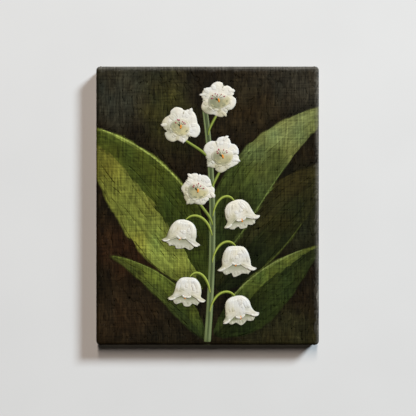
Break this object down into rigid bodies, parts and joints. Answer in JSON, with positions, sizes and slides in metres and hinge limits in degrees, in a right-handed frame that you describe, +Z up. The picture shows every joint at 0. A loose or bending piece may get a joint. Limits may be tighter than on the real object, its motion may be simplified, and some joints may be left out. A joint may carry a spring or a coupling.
{
  "type": "stretched canvas painting",
  "caption": "Small gallery-wrapped oil painting of white bell flowers on a canvas stretched over a wooden frame, with a hanger behind for a wall nail.",
  "frame": {"origin": "the hanging point: on the wall plane, level with the middle notch of the sawtooth hanger, where the wall's nail carries the picture", "axes": "+Z up the picture's height, +X to the right seen from the front, +Y from the picture back towards the wall; the painted face looks along -Y"},
  "size_m": [0.2032, 0.0214, 0.254],
  "materials": {
    "painted_cloth": "matte oil paint on primed cotton duck, raw cotton behind",
    "pine": "planed, unfinished",
    "beech": "sawn, unfinished",
    "staple_steel": "galvanised wire",
    "plated_steel": "brass plated",
    "bumper_rubber": "matt"
  },
  "bodies": {
    "root": {"bottom_bar": "pine", "bottom_bar_staple_1": "staple_steel", "bottom_bar_staple_2": "staple_steel", "bottom_bar_staple_3": "staple_steel", "bottom_bar_staple_4": "staple_steel", "bottom_bar_staple_5": "staple_steel", "bottom_left_level_key": "beech", "bottom_left_upright_key": "beech", "bottom_right_level_key": "beech", "bottom_right_upright_key": "beech", "canvas": "painted_cloth", "hanger_nail_left": "plated_steel", "hanger_nail_right": "plated_steel", "left_bar": "pine", "left_bar_staple_1": "staple_steel", "left_bar_staple_2": "staple_steel", "left_bar_staple_3": "staple_steel", "left_bar_staple_4": "staple_steel", "left_bar_staple_5": "staple_steel", "right_bar": "pine", "right_bar_staple_1": "staple_steel", "right_bar_staple_2": "staple_steel", "right_bar_staple_3": "staple_steel", "right_bar_staple_4": "staple_steel", "right_bar_staple_5": "staple_steel", "sawtooth_hanger": "plated_steel", "top_bar": "pine", "top_bar_staple_1": "staple_steel", "top_bar_staple_2": "staple_steel", "top_bar_staple_3": "staple_steel", "top_bar_staple_4": "staple_steel", "top_bar_staple_5": "staple_steel", "top_left_level_key": "beech", "top_left_upright_key": "beech", "top_right_level_key": "beech", "top_right_upright_key": "beech", "wall_bumper_left": "bumper_rubber", "wall_bumper_right": "bumper_rubber"}
  },
  "joints": []
}
